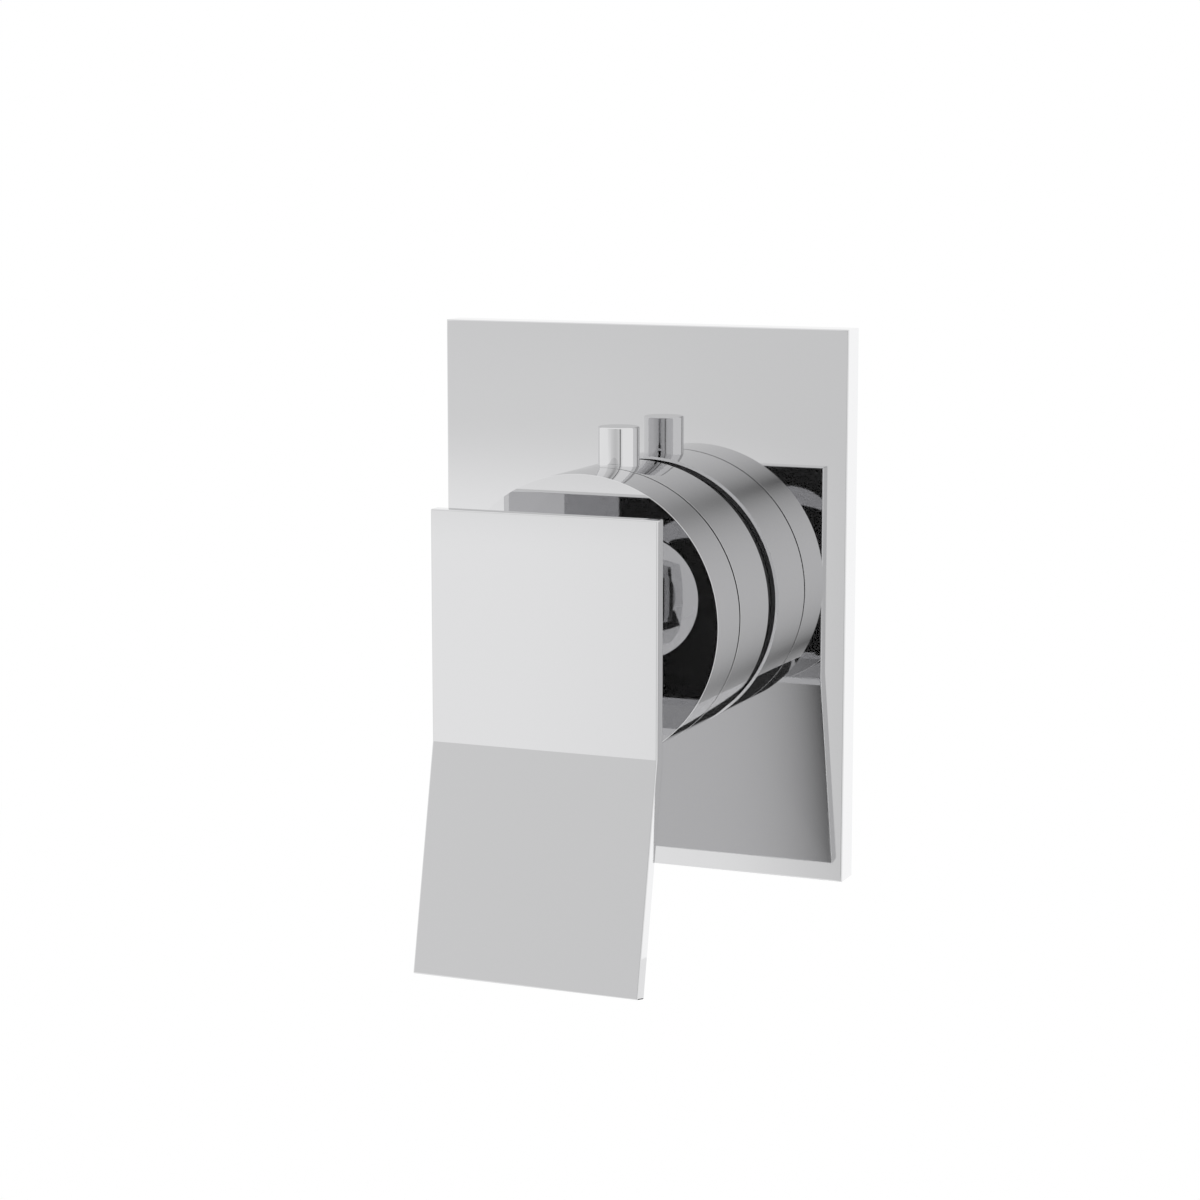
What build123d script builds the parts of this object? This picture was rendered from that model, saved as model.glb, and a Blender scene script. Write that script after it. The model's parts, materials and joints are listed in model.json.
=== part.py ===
"""Concealed shower control: lever mixer with a turning ring that diverts between two outlets.

Millimetres, +Z up. The origin is on the valve axis at the finished wall. The axis runs along Y:
-Y points out to the user and +Y into the wall. Distances along it are given as stand-offs from
the wall, positive towards the user.
"""
from build123d import *
import os
from math import cos, radians, sin, sqrt

os.makedirs("parts", exist_ok=True)

# Cover plate, a shallow shell
plate_width = 110.0
plate_height = 140.0
plate_depth = 8.0
plate_face = 2.5
plate_wall = 2.2
plate_edge = 0.3
gasket_width = 3.0

# Round body in front of the plate: diverter ring, groove, front cover
body_radius = 36.0
shell_wall = 3.0
ring_gap = 3.2
groove_centre = 24.6
groove_width = 0.5
front_reach = 40.0
ring_chamfer = 0.6
cover_face = 2.5
cover_edge = 0.2

# Peg on the diverter ring
pin_radius = 5.2
pin_stand_off = 15.4
pin_rise = 9.5
pin_edge = 0.8
pin_stud_radius = 2.5
pin_stud_length = 8.0

# Lever slab, bent once
handle_width = 58.7
handle_top = 28.7
handle_gap = 19.2
handle_thickness = 3.7
handle_crease = 28.2
handle_lower_length = 56.4
handle_tilt = 12.2
handle_edge = 0.25
bend_facet_top = 29.4
bend_facet_bottom = 31.3

# Lever movement: tips about the pivot pin, the ball below it moves the ceramic disc
pivot_stand_off = 30.0
lift_angle = 20.0
stem_reach = 12.0

# Dome that closes the front opening, and the hub that passes through it
dome_radius = 24.0
dome_wall = 2.0
dome_gap = 0.5
dome_rim_angle = 58.0
dome_rim_tilt = 8.0
hub_radius = 8.0
hub_land = 0.5
hub_neck_radius = 6.8
hub_neck_length = 7.4
hub_spigot_radius = 6.0
hub_spigot_length = 1.5
stem_square = 7.0
stem_square_start = 36.0
stem_end_gap = 4.5

# Body in the wall
barrel_wall = 2.0
barrel_front = 6.0
barrel_rear = 46.0
chamber_rear = 22.0
port_radius = 9.32
port_depth = 12.0
port_boss_radius = 13.5
inlet_depth = 32.5
inlet_reach = 34.5
outlet_depth = 14.0
outlet_reach = 40.0
passage_radius = 4.0
mixed_passage_radius = 3.2
flange_width = 68.0
flange_thickness = 4.0
flange_corner = 6.0
mount_spacing = 54.0
mount_hole_radius = 2.75

# Neck that carries the cartridge, the sleeve and the front cover
neck_radius = 21.0
neck_front = 33.0
seat_stand_off = 4.0
cartridge_radius = 17.4
shoulder_stand_off = 26.0
neck_seal_stand_offs = (-20.2, -6.0)
neck_seal_width = 1.9
neck_seal_depth = 1.5

# Diverter sleeve and what carries the ring
sleeve_wall = 3.3
sleeve_window_radius = 4.5
sleeve_window_angles = (45.0, -45.0)
carrier_rear = 16.0
carrier_front = 28.0
carrier_recess = 3.5
carrier_rim = 2.6
gland_rear = 2.8
gland_front = 7.0
gland_flange = 0.6
seal_radial = 1.9
seal_depth = 2.4
circlip_thickness = 1.2
circlip_depth = 1.0
circlip_rise = 2.0
circlip_opening = 34.0

# Lock ring that clamps the plate
lock_wall = 2.2
lock_flange_inset = 1.8

# Cartridge
base_thickness = 4.6
fixed_disc_thickness = 3.4
moving_disc_thickness = 3.0
fixed_disc_radius = 15.2
moving_disc_radius = 11.0
housing_wall = 2.0
collar_radius = 14.5
collar_bore = 12.0
collar_front = 33.7
turret_step = 23.7
disc_carrier_thickness = 4.6
stem_radius = 3.4
ball_radius = 2.2
ball_neck_radius = 1.4
ball_neck_length = 4.4
socket_floor = 0.6
pivot_pin_radius = 1.5
seat_port_radius = 3.0
seat_inlet_x = 7.5
seat_inlet_z = -4.0
seat_outlet_z = 7.5
disc_port_radius = 2.2
disc_inlet_x = 4.2
disc_inlet_z = -4.6
disc_outlet_z = 4.6
mixing_pocket_radius = 4.3
mixing_pocket_z = 2.2
mixing_pocket_depth = 1.8
port_seal_width = 1.5
port_seal_depth = 1.2
peg_radius = 1.4
peg_length = 2.0
peg_x = 12.0
peg_z = 6.0
carrier_peg_radius = 1.2
carrier_peg_x = 7.5
carrier_peg_z = 3.5
carrier_peg_length = 1.2

# Cartridge nut and cover carrier
nut_flange = 1.6
nut_corner_radius = 22.0
cover_web = 2.0
cover_rim_wall = 2.6
cover_rim_front = 43.0

# Grub screws: radii, and the share of the radius that the hexagon socket takes
ring_grub_radius = 2.0
ring_grub_angles = (200.0, 270.0)
cover_grub_radius = 1.5
hub_grub_radius = 2.5
grub_inset = 0.5
socket_share = 0.6
socket_depth = 2.0

# Clearances
running_fit = 0.08
static_fit = 0.05
slack = 0.3

# Sizes that follow from those above
ring_rear = plate_depth + ring_gap
ring_front = plate_depth + groove_centre - groove_width / 2
cover_rear = plate_depth + groove_centre + groove_width / 2
disc_front = plate_depth + front_reach
pin_axis = plate_depth + pin_stand_off
handle_back = disc_front + handle_gap
handle_front = handle_back + handle_thickness
shell_bore = body_radius - shell_wall
sleeve_bore = neck_radius + running_fit
sleeve_radius = sleeve_bore + sleeve_wall
chamber_radius = sleeve_radius + running_fit
gland_radius = chamber_radius + seal_radial
circlip_radius = neck_radius + circlip_rise
barrel_radius = gland_radius + barrel_wall
lock_bore = barrel_radius + static_fit
lock_tube_radius = lock_bore + lock_wall
plate_hole_radius = lock_tube_radius + slack
seat_bore = cartridge_radius + static_fit
housing_bore = cartridge_radius - housing_wall
disc_seat = seat_stand_off + base_thickness
moving_seat = disc_seat + fixed_disc_thickness
carrier_seat = moving_seat + moving_disc_thickness
turret_rear = carrier_seat + disc_carrier_thickness + running_fit
ball_stand_off = pivot_stand_off - stem_reach
hub_seat = pivot_stand_off + sqrt(dome_radius**2 - (hub_radius + hub_land) ** 2)
hub_neck_end = hub_seat - hub_neck_length
stem_front = handle_back - stem_end_gap
stem_half = stem_square / 2
seat_ports = [(seat_inlet_x, seat_inlet_z), (-seat_inlet_x, seat_inlet_z), (0, seat_outlet_z)]
disc_ports = [(disc_inlet_x, disc_inlet_z), (-disc_inlet_x, disc_inlet_z), (0, disc_outlet_z)]
base_pegs = [(peg_x, peg_z), (-peg_x, peg_z)]
carrier_pegs = [(carrier_peg_x, carrier_peg_z), (-carrier_peg_x, carrier_peg_z)]

# The half section holds the turned pieces' profiles as (radius, stand-off)
half_section = Plane(origin=(0, 0, 0), x_dir=(1, 0, 0), z_dir=(0, 0, -1))


def across(stand_off):
    """The plane square to the valve axis at a stand-off, with X to the right and Z up."""
    return Plane(origin=(0, -stand_off, 0), x_dir=(1, 0, 0), z_dir=(0, -1, 0))


def radial(stand_off, angle):
    """The plane through the axis at a stand-off that faces out at an angle, 0 right, 90 up."""
    outward = (cos(radians(angle)), 0, sin(radians(angle)))
    return Plane(origin=(0, -stand_off, 0), x_dir=(0, 1, 0), z_dir=outward)


def section(inner, outer, start, end, mode=Mode.ADD):
    """A rectangle of the half section, from one radius and stand-off to another."""
    with Locations(((inner + outer) / 2, (start + end) / 2)):
        Rectangle(outer - inner, end - start, mode=mode)


def finish(part, name):
    """Name a finished piece and write it."""
    part.label = name
    export_step(part, f"parts/{name}.step")


# Cover plate: face and four walls, with a round hole for the body
with BuildPart() as wall_plate:
    with BuildSketch(across(0)):
        Rectangle(plate_width, plate_height)
    extrude(amount=plate_depth)
    fillet(wall_plate.edges().group_by(Axis.Y)[0], plate_edge)
    with BuildSketch(across(0)):
        Rectangle(plate_width - 2 * plate_wall, plate_height - 2 * plate_wall)
    extrude(amount=plate_depth - plate_face, mode=Mode.SUBTRACT)
    with BuildSketch(across(0)):
        Circle(plate_hole_radius)
    extrude(amount=plate_depth, mode=Mode.SUBTRACT)
finish(wall_plate.part, "wall_plate")

# Foam frame that seals the plate to the wall
gasket_outer_width = plate_width - 2 * (plate_wall + slack)
gasket_outer_height = plate_height - 2 * (plate_wall + slack)
with BuildPart() as plate_gasket:
    with BuildSketch(across(0)):
        Rectangle(gasket_outer_width, gasket_outer_height)
        Rectangle(
            gasket_outer_width - 2 * gasket_width,
            gasket_outer_height - 2 * gasket_width,
            mode=Mode.SUBTRACT,
        )
    extrude(amount=plate_depth - plate_face)
finish(plate_gasket.part, "plate_gasket")

# Lock ring: screws on the barrel and clamps the plate, and its flange shows in the gap
with BuildPart() as lock_ring:
    with BuildSketch(half_section):
        section(lock_bore, lock_tube_radius, static_fit, plate_depth)
        section(lock_bore, body_radius - lock_flange_inset, plate_depth, ring_rear - slack)
    revolve(axis=Axis.Y)
finish(lock_ring.part, "lock_ring")

# Brass body in the wall: barrel, rear flange, four threaded ports, ring chamber and neck
inlet_planes = [radial(-inlet_depth, angle) for angle in (0, 180)]
outlet_planes = [radial(-outlet_depth, angle) for angle in (90, 270)]
port_planes = [(plane, inlet_reach) for plane in inlet_planes]
port_planes += [(plane, outlet_reach) for plane in outlet_planes]
with BuildPart() as valve_body:
    with BuildSketch(half_section):
        section(0, barrel_radius, -barrel_rear, barrel_front)
    revolve(axis=Axis.Y)
    with BuildSketch(across(-barrel_rear)):
        RectangleRounded(flange_width, flange_width, flange_corner)
        with GridLocations(mount_spacing, mount_spacing, 2, 2):
            Circle(mount_hole_radius, mode=Mode.SUBTRACT)
    extrude(amount=flange_thickness)
    for plane, reach in port_planes:
        with BuildSketch(plane.offset(neck_radius)):
            Circle(port_boss_radius)
        extrude(amount=reach - neck_radius)
    with BuildSketch(half_section):
        section(neck_radius, chamber_radius, -chamber_rear, barrel_front)
        section(neck_radius, gland_radius, gland_rear - seal_depth, barrel_front)
        for stand_off in neck_seal_stand_offs:
            start = stand_off - neck_seal_width / 2
            section(neck_radius - neck_seal_depth, chamber_radius, start, start + neck_seal_width)
    revolve(axis=Axis.Y, mode=Mode.SUBTRACT)
    with BuildSketch(half_section):
        section(0, neck_radius, barrel_front, neck_front)
        clip_start = carrier_front + static_fit
        section(
            neck_radius - circlip_depth,
            neck_radius,
            clip_start,
            clip_start + circlip_thickness + static_fit,
            mode=Mode.SUBTRACT,
        )
    revolve(axis=Axis.Y)
    with BuildSketch(half_section):
        section(0, seat_bore, seat_stand_off, neck_front)
    revolve(axis=Axis.Y, mode=Mode.SUBTRACT)
    for plane, reach in port_planes:
        with BuildSketch(plane.offset(reach - port_depth)):
            Circle(port_radius)
        extrude(amount=port_depth, mode=Mode.SUBTRACT)
    for plane in inlet_planes:
        with BuildSketch(plane.offset(seat_inlet_x - seat_port_radius)):
            Circle(passage_radius)
        extrude(amount=inlet_reach - port_depth - seat_inlet_x + seat_port_radius, mode=Mode.SUBTRACT)
    for plane in outlet_planes:
        with BuildSketch(plane):
            Circle(mixed_passage_radius)
        extrude(amount=outlet_reach - port_depth, mode=Mode.SUBTRACT)
    with BuildSketch(across(-inlet_depth)):
        with Locations(seat_ports[:2]):
            Circle(seat_port_radius)
    extrude(amount=inlet_depth + seat_stand_off, mode=Mode.SUBTRACT)
    with BuildSketch(across(-outlet_depth)):
        with Locations(seat_ports[2]):
            Circle(seat_port_radius)
    extrude(amount=outlet_depth + seat_stand_off, mode=Mode.SUBTRACT)
    with BuildSketch(across(seat_stand_off - peg_length - static_fit)):
        with Locations(base_pegs):
            Circle(peg_radius + static_fit)
    extrude(amount=peg_length + static_fit, mode=Mode.SUBTRACT)
finish(valve_body.part, "valve_body")

# Rubber rings in the neck's grooves, inside the sleeve
with BuildPart() as neck_seals:
    with BuildSketch(half_section):
        for stand_off in neck_seal_stand_offs:
            start = stand_off - neck_seal_width / 2
            section(neck_radius - neck_seal_depth, neck_radius, start, start + neck_seal_width)
    revolve(axis=Axis.Y)
finish(neck_seals.part, "neck_seals")

# Ported sleeve: turned one way it opens the upper outlet, the other way the lower one
with BuildPart() as diverter_sleeve:
    with BuildSketch(half_section):
        section(sleeve_bore, sleeve_radius, slack - chamber_rear, carrier_front)
    revolve(axis=Axis.Y)
    for angle in sleeve_window_angles:
        with BuildSketch(radial(-outlet_depth, angle)):
            Circle(sleeve_window_radius)
        extrude(amount=chamber_radius, mode=Mode.SUBTRACT)
finish(diverter_sleeve.part, "diverter_sleeve")

# Seal and gland nut that close the chamber round the sleeve
with BuildPart() as gland_seal:
    with BuildSketch(half_section):
        section(sleeve_radius + running_fit, gland_radius, gland_rear - seal_depth, gland_rear)
    revolve(axis=Axis.Y)
finish(gland_seal.part, "gland_seal")

with BuildPart() as gland_nut:
    with BuildSketch(half_section):
        section(sleeve_radius + running_fit, gland_radius, gland_rear, barrel_front)
        section(sleeve_radius + running_fit, gland_radius + gland_flange, barrel_front, gland_front)
    revolve(axis=Axis.Y)
finish(gland_nut.part, "gland_nut")

# Plastic carrier between the sleeve and the diverter ring
with BuildPart() as ring_carrier:
    with BuildSketch(half_section):
        section(sleeve_radius + static_fit, shell_bore - static_fit, carrier_rear, carrier_front)
        section(
            sleeve_radius + carrier_rim,
            shell_bore - carrier_rim,
            carrier_rear,
            carrier_rear + carrier_recess,
            mode=Mode.SUBTRACT,
        )
    revolve(axis=Axis.Y)
    for angle in ring_grub_angles:
        with BuildSketch(radial(pin_axis, angle)):
            Circle(ring_grub_radius + static_fit)
        extrude(amount=body_radius, mode=Mode.SUBTRACT)
    with BuildSketch(radial(pin_axis, 90).offset(body_radius - pin_stud_length)):
        Circle(pin_stud_radius + static_fit)
    extrude(amount=pin_stud_length, mode=Mode.SUBTRACT)
finish(ring_carrier.part, "ring_carrier")

# Diverter ring: the rear half of the round body
with BuildPart() as diverter_ring:
    with BuildSketch(half_section) as ring_profile:
        section(shell_bore, body_radius, ring_rear, ring_front)
        rear_corner = ring_profile.vertices().sort_by(Axis.Y)[:2].sort_by(Axis.X)[-1]
        chamfer(rear_corner, ring_chamfer)
    revolve(axis=Axis.Y)
    for angle in ring_grub_angles:
        with BuildSketch(radial(pin_axis, angle)):
            Circle(ring_grub_radius + static_fit)
        extrude(amount=body_radius, mode=Mode.SUBTRACT)
    with BuildSketch(radial(pin_axis, 90)):
        Circle(pin_stud_radius + static_fit)
    extrude(amount=body_radius, mode=Mode.SUBTRACT)
finish(diverter_ring.part, "diverter_ring")

# Peg on the ring: a round head saddled on the ring, and a threaded stud
with BuildPart() as diverter_pin:
    with BuildSketch(radial(pin_axis, 90).offset(shell_bore)):
        Circle(pin_radius)
    extrude(amount=shell_wall + pin_rise)
    fillet(diverter_pin.edges().group_by(Axis.Z)[-1], pin_edge)
    with BuildSketch(half_section):
        section(0, body_radius, ring_rear, ring_front)
    revolve(axis=Axis.Y, mode=Mode.SUBTRACT)
    with BuildSketch(radial(pin_axis, 90).offset(body_radius - pin_stud_length)):
        Circle(pin_stud_radius)
    extrude(amount=pin_stud_length + pin_edge)
finish(diverter_pin.part, "diverter_pin")

# Grub screws through ring and carrier on to the sleeve
ring_grub_length = body_radius - grub_inset - sleeve_radius - static_fit
with BuildPart() as diverter_grub_screws:
    for angle in ring_grub_angles:
        with BuildSketch(radial(pin_axis, angle).offset(sleeve_radius + static_fit)):
            Circle(ring_grub_radius)
        extrude(amount=ring_grub_length)
        with BuildSketch(radial(pin_axis, angle).offset(body_radius - grub_inset - socket_depth)):
            RegularPolygon(ring_grub_radius * socket_share, 6)
        extrude(amount=socket_depth, mode=Mode.SUBTRACT)
finish(diverter_grub_screws.part, "diverter_grub_screws")

# Spring clip in the neck's groove that keeps sleeve and carrier on the neck
with BuildPart() as sleeve_circlip:
    with BuildSketch(across(carrier_front + static_fit)):
        Circle(circlip_radius)
        Circle(neck_radius - circlip_depth + static_fit, mode=Mode.SUBTRACT)
        with Locations((0, -circlip_radius)):
            Rectangle(circlip_radius * sin(radians(circlip_opening)), circlip_radius, mode=Mode.SUBTRACT)
    extrude(amount=circlip_thickness)
finish(sleeve_circlip.part, "sleeve_circlip")

# Cartridge base with three channels, seal recesses and locating pegs
with BuildPart() as cartridge_base:
    with BuildSketch(across(seat_stand_off)):
        Circle(cartridge_radius)
    extrude(amount=base_thickness)
    with BuildSketch(across(seat_stand_off - peg_length)):
        with Locations(base_pegs):
            Circle(peg_radius)
    extrude(amount=peg_length)
    with BuildSketch(across(seat_stand_off)):
        with Locations(seat_ports):
            Circle(seat_port_radius)
    extrude(amount=base_thickness / 2, mode=Mode.SUBTRACT)
    with BuildSketch(across(seat_stand_off + base_thickness / 2)):
        with Locations(disc_ports):
            Circle(disc_port_radius)
    extrude(amount=base_thickness / 2, mode=Mode.SUBTRACT)
    with BuildSketch(across(seat_stand_off)):
        with Locations(seat_ports):
            Circle(seat_port_radius + port_seal_width)
    extrude(amount=port_seal_depth, mode=Mode.SUBTRACT)
finish(cartridge_base.part, "cartridge_base")

# Rubber rings between the cartridge base and its seat
with BuildPart() as cartridge_seals:
    with BuildSketch(across(seat_stand_off)):
        with Locations(seat_ports):
            Circle(seat_port_radius + port_seal_width)
            Circle(seat_port_radius, mode=Mode.SUBTRACT)
    extrude(amount=port_seal_depth)
finish(cartridge_seals.part, "cartridge_seals")

# Cartridge housing: cup with a narrow collar that guides the turret
with BuildPart() as cartridge_housing:
    with BuildSketch(half_section):
        section(housing_bore, cartridge_radius, disc_seat, shoulder_stand_off)
        section(collar_bore, cartridge_radius, turret_step + running_fit, shoulder_stand_off)
        section(collar_bore, collar_radius, shoulder_stand_off, collar_front)
    revolve(axis=Axis.Y)
finish(cartridge_housing.part, "cartridge_housing")

# Fixed ceramic disc with two inlets and one outlet
with BuildPart() as fixed_ceramic_disc:
    with BuildSketch(across(disc_seat)):
        Circle(fixed_disc_radius)
        with Locations(disc_ports):
            Circle(disc_port_radius, mode=Mode.SUBTRACT)
    extrude(amount=fixed_disc_thickness)
finish(fixed_ceramic_disc.part, "fixed_ceramic_disc")

# Moving ceramic disc with the mixing pocket in its rear face
with BuildPart() as moving_ceramic_disc:
    with BuildSketch(across(moving_seat)):
        Circle(moving_disc_radius)
    extrude(amount=moving_disc_thickness)
    with BuildSketch(across(moving_seat)):
        with Locations((0, mixing_pocket_z)):
            Circle(mixing_pocket_radius)
    extrude(amount=mixing_pocket_depth, mode=Mode.SUBTRACT)
    with BuildSketch(across(carrier_seat - carrier_peg_length - static_fit)):
        with Locations(carrier_pegs):
            Circle(carrier_peg_radius + static_fit)
    extrude(amount=carrier_peg_length + static_fit, mode=Mode.SUBTRACT)
finish(moving_ceramic_disc.part, "moving_ceramic_disc")

# Carrier that takes the stem's ball and pushes the moving disc
with BuildPart() as disc_carrier:
    with BuildSketch(across(carrier_seat)):
        Circle(moving_disc_radius)
    extrude(amount=disc_carrier_thickness)
    with BuildSketch(across(carrier_seat - carrier_peg_length)):
        with Locations(carrier_pegs):
            Circle(carrier_peg_radius)
    extrude(amount=carrier_peg_length)
    with BuildSketch(across(carrier_seat + socket_floor)):
        Rectangle(2 * (ball_radius + running_fit), 2 * (ball_radius + 2 * running_fit))
    extrude(amount=disc_carrier_thickness, mode=Mode.SUBTRACT)
finish(disc_carrier.part, "disc_carrier")

# Turret: turns in the collar with the lever and holds the pivot pin across its slot
tip = radians(lift_angle)
below_pin = stem_reach - ball_neck_length
above_pin = collar_front + slack - pivot_stand_off
slot_low = stem_radius * cos(tip) + below_pin * sin(tip) + slack
slot_high = stem_radius / cos(tip) + above_pin * sin(tip) + slack
turret_front = collar_front + slack
with BuildPart() as lever_turret:
    with BuildSketch(half_section):
        section(0, housing_bore - slack, turret_rear, turret_step)
        section(0, collar_bore - running_fit, turret_step, turret_front)
    revolve(axis=Axis.Y)
    with BuildSketch(across(turret_rear)):
        with Locations((0, (slot_high - slot_low) / 2)):
            Rectangle(2 * (stem_radius + slack), slot_high + slot_low)
    extrude(amount=turret_front - turret_rear, mode=Mode.SUBTRACT)
    with BuildSketch(radial(pivot_stand_off, 0)):
        Circle(pivot_pin_radius + static_fit)
    extrude(amount=collar_bore, both=True, mode=Mode.SUBTRACT)
finish(lever_turret.part, "lever_turret")

# Pivot pin, trapped in the turret by the collar's bore
pivot_pin_half = sqrt((collar_bore - slack) ** 2 - pivot_pin_radius**2)
with BuildPart() as pivot_pin:
    with BuildSketch(radial(pivot_stand_off, 0)):
        Circle(pivot_pin_radius)
    extrude(amount=pivot_pin_half, both=True)
finish(pivot_pin.part, "pivot_pin")

# Lever stem: ball end, neck, round shank at the pivot, square drive for the hub
with BuildPart() as lever_stem:
    with Locations((0, -ball_stand_off, 0)):
        Sphere(ball_radius)
    with BuildSketch(half_section):
        section(0, ball_neck_radius, ball_stand_off, ball_stand_off + ball_neck_length)
        section(0, stem_radius, ball_stand_off + ball_neck_length, stem_square_start)
    revolve(axis=Axis.Y)
    with BuildSketch(across(stem_square_start)):
        Rectangle(stem_square, stem_square)
    extrude(amount=stem_front - stem_square_start)
    with BuildSketch(radial(pivot_stand_off, 0)):
        Circle(pivot_pin_radius + running_fit)
    extrude(amount=stem_square, both=True, mode=Mode.SUBTRACT)
finish(lever_stem.part, "lever_stem")

# Nut that holds the cartridge in the neck and clamps the cover carrier
nut_bore = collar_radius + slack
with BuildPart() as cartridge_nut:
    with BuildSketch(half_section):
        section(nut_bore, cartridge_radius, shoulder_stand_off, neck_front + cover_web)
    revolve(axis=Axis.Y)
    with BuildSketch(across(neck_front + cover_web)):
        RegularPolygon(nut_corner_radius, 6)
        Circle(nut_bore, mode=Mode.SUBTRACT)
    extrude(amount=nut_flange)
finish(cartridge_nut.part, "cartridge_nut")

# Carrier of the front cover, clamped on the neck's end
carrier_outer = shell_bore - static_fit
with BuildPart() as cover_carrier:
    with BuildSketch(half_section):
        section(seat_bore + static_fit, carrier_outer, neck_front, neck_front + cover_web)
        section(carrier_outer - cover_rim_wall, carrier_outer, neck_front, cover_rim_front)
    revolve(axis=Axis.Y)
    with BuildSketch(radial((cover_rear + disc_front) / 2, 270)):
        Circle(cover_grub_radius + static_fit)
    extrude(amount=body_radius, mode=Mode.SUBTRACT)
finish(cover_carrier.part, "cover_carrier")

# Front cover: flat mirror disc and short skirt, opened by a sphere round the dome
with BuildPart() as front_cover:
    with BuildSketch(half_section) as cover_profile:
        section(0, body_radius, cover_rear, disc_front)
        section(0, shell_bore, cover_rear, disc_front - cover_face, mode=Mode.SUBTRACT)
        front_corner = cover_profile.vertices().sort_by(Axis.X)[-2:].sort_by(Axis.Y)[-1]
        chamfer(front_corner, cover_edge)
    revolve(axis=Axis.Y)
    with Locations((0, -pivot_stand_off, 0)):
        Sphere(dome_radius + dome_gap, mode=Mode.SUBTRACT)
    with BuildSketch(radial((cover_rear + disc_front) / 2, 270)):
        Circle(cover_grub_radius + static_fit)
    extrude(amount=body_radius, mode=Mode.SUBTRACT)
finish(front_cover.part, "front_cover")

# Grub screw that locks the cover to its carrier, from below
with BuildPart() as cover_grub_screw:
    screw_plane = radial((cover_rear + disc_front) / 2, 270)
    with BuildSketch(screw_plane.offset(carrier_outer - cover_rim_wall)):
        Circle(cover_grub_radius)
    extrude(amount=cover_rim_wall + shell_wall - grub_inset)
    with BuildSketch(screw_plane.offset(body_radius - grub_inset - socket_depth)):
        RegularPolygon(cover_grub_radius * socket_share, 6)
    extrude(amount=socket_depth, mode=Mode.SUBTRACT)
finish(cover_grub_screw.part, "cover_grub_screw")

# Dome: a ball's cap about the pivot, so that it stays in the opening as the lever tips
cap_axis = Vector(0, -cos(radians(dome_rim_tilt)), -sin(radians(dome_rim_tilt)))
pivot_centre = Vector(0, -pivot_stand_off, 0)
rim_plane = Plane(
    origin=pivot_centre + cap_axis * (dome_radius * cos(radians(dome_rim_angle))),
    z_dir=cap_axis,
)
with BuildPart() as dome_cap:
    with Locations((0, -pivot_stand_off, 0)):
        Sphere(dome_radius)
        Sphere(dome_radius - dome_wall, mode=Mode.SUBTRACT)
    split(bisect_by=rim_plane, keep=Keep.TOP)
    split(bisect_by=across(hub_seat), keep=Keep.BOTTOM)
    with BuildSketch(across(pivot_stand_off)):
        Circle(hub_neck_radius + static_fit)
    extrude(amount=dome_radius, mode=Mode.SUBTRACT)
finish(dome_cap.part, "dome_cap")

# Hub: sits on the dome, takes the square stem, and carries the slab on a spigot
hub_grub_stand_off = (hub_seat + handle_back) / 2
with BuildPart() as handle_hub:
    with BuildSketch(half_section):
        section(0, hub_neck_radius, hub_neck_end, hub_seat)
        section(0, hub_radius, hub_seat, handle_back)
        section(0, hub_spigot_radius, handle_back, handle_back + hub_spigot_length)
    revolve(axis=Axis.Y)
    with BuildSketch(across(hub_neck_end)):
        Rectangle(stem_square + 2 * static_fit, stem_square + 2 * static_fit)
    extrude(amount=stem_front + slack - hub_neck_end, mode=Mode.SUBTRACT)
    with BuildSketch(radial(hub_grub_stand_off, 270)):
        Circle(hub_grub_radius + static_fit)
    extrude(amount=hub_radius, mode=Mode.SUBTRACT)
finish(handle_hub.part, "handle_hub")

# Grub screw that clamps the hub on the stem, from below
with BuildPart() as handle_grub_screw:
    with BuildSketch(radial(hub_grub_stand_off, 270).offset(stem_half)):
        Circle(hub_grub_radius)
    extrude(amount=hub_radius - grub_inset - stem_half)
    with BuildSketch(radial(hub_grub_stand_off, 270).offset(hub_radius - grub_inset - socket_depth)):
        RegularPolygon(hub_grub_radius * socket_share, 6)
    extrude(amount=socket_depth, mode=Mode.SUBTRACT)
finish(handle_grub_screw.part, "handle_grub_screw")

# Lever slab: upper half parallel to the wall, lower half bent outwards, facet on the bend's back
tilt = radians(handle_tilt)
low_front = (
    handle_front + handle_lower_length * sin(tilt),
    -handle_crease - handle_lower_length * cos(tilt),
)
facet_step = (bend_facet_bottom - bend_facet_top) * sin(tilt / 2) / cos(tilt / 2)
facet_low = (handle_back + facet_step, -bend_facet_bottom)
crease = (handle_front, -handle_crease)
lower_thickness = (crease[0] - facet_low[0]) * cos(tilt) + (crease[1] - facet_low[1]) * sin(tilt)
low_back = (low_front[0] - lower_thickness * cos(tilt), low_front[1] - lower_thickness * sin(tilt))
side_view = Plane(origin=(0, 0, 0), x_dir=(0, -1, 0), z_dir=(-1, 0, 0))
with BuildPart() as lever_handle:
    with BuildSketch(side_view):
        with BuildLine():
            Polyline(
                (handle_back, handle_top),
                (handle_front, handle_top),
                crease,
                low_front,
                low_back,
                facet_low,
                (handle_back, -bend_facet_top),
                close=True,
            )
        make_face()
    extrude(amount=handle_width / 2, both=True)
    side_edges = lever_handle.faces().filter_by(Axis.X).edges()
    end_faces = lever_handle.faces().filter_by(Axis.X, reverse=True).sort_by(Axis.Z)
    end_edges = (end_faces[0].edges() + end_faces[-1].edges()).filter_by(Axis.X)
    fillet(side_edges + end_edges, handle_edge)
    with BuildSketch(across(handle_back)):
        Circle(hub_spigot_radius + static_fit)
    extrude(amount=hub_spigot_length + static_fit, mode=Mode.SUBTRACT)
finish(lever_handle.part, "lever_handle")
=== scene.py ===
"""A chrome shower control for a concealed valve: wall plate, diverter ring, mirror disc and lever.

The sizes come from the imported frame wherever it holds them. X runs along the wall, -Y out of it
to the user and Z up. A stand-off is the distance out from the wall.
"""

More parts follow.
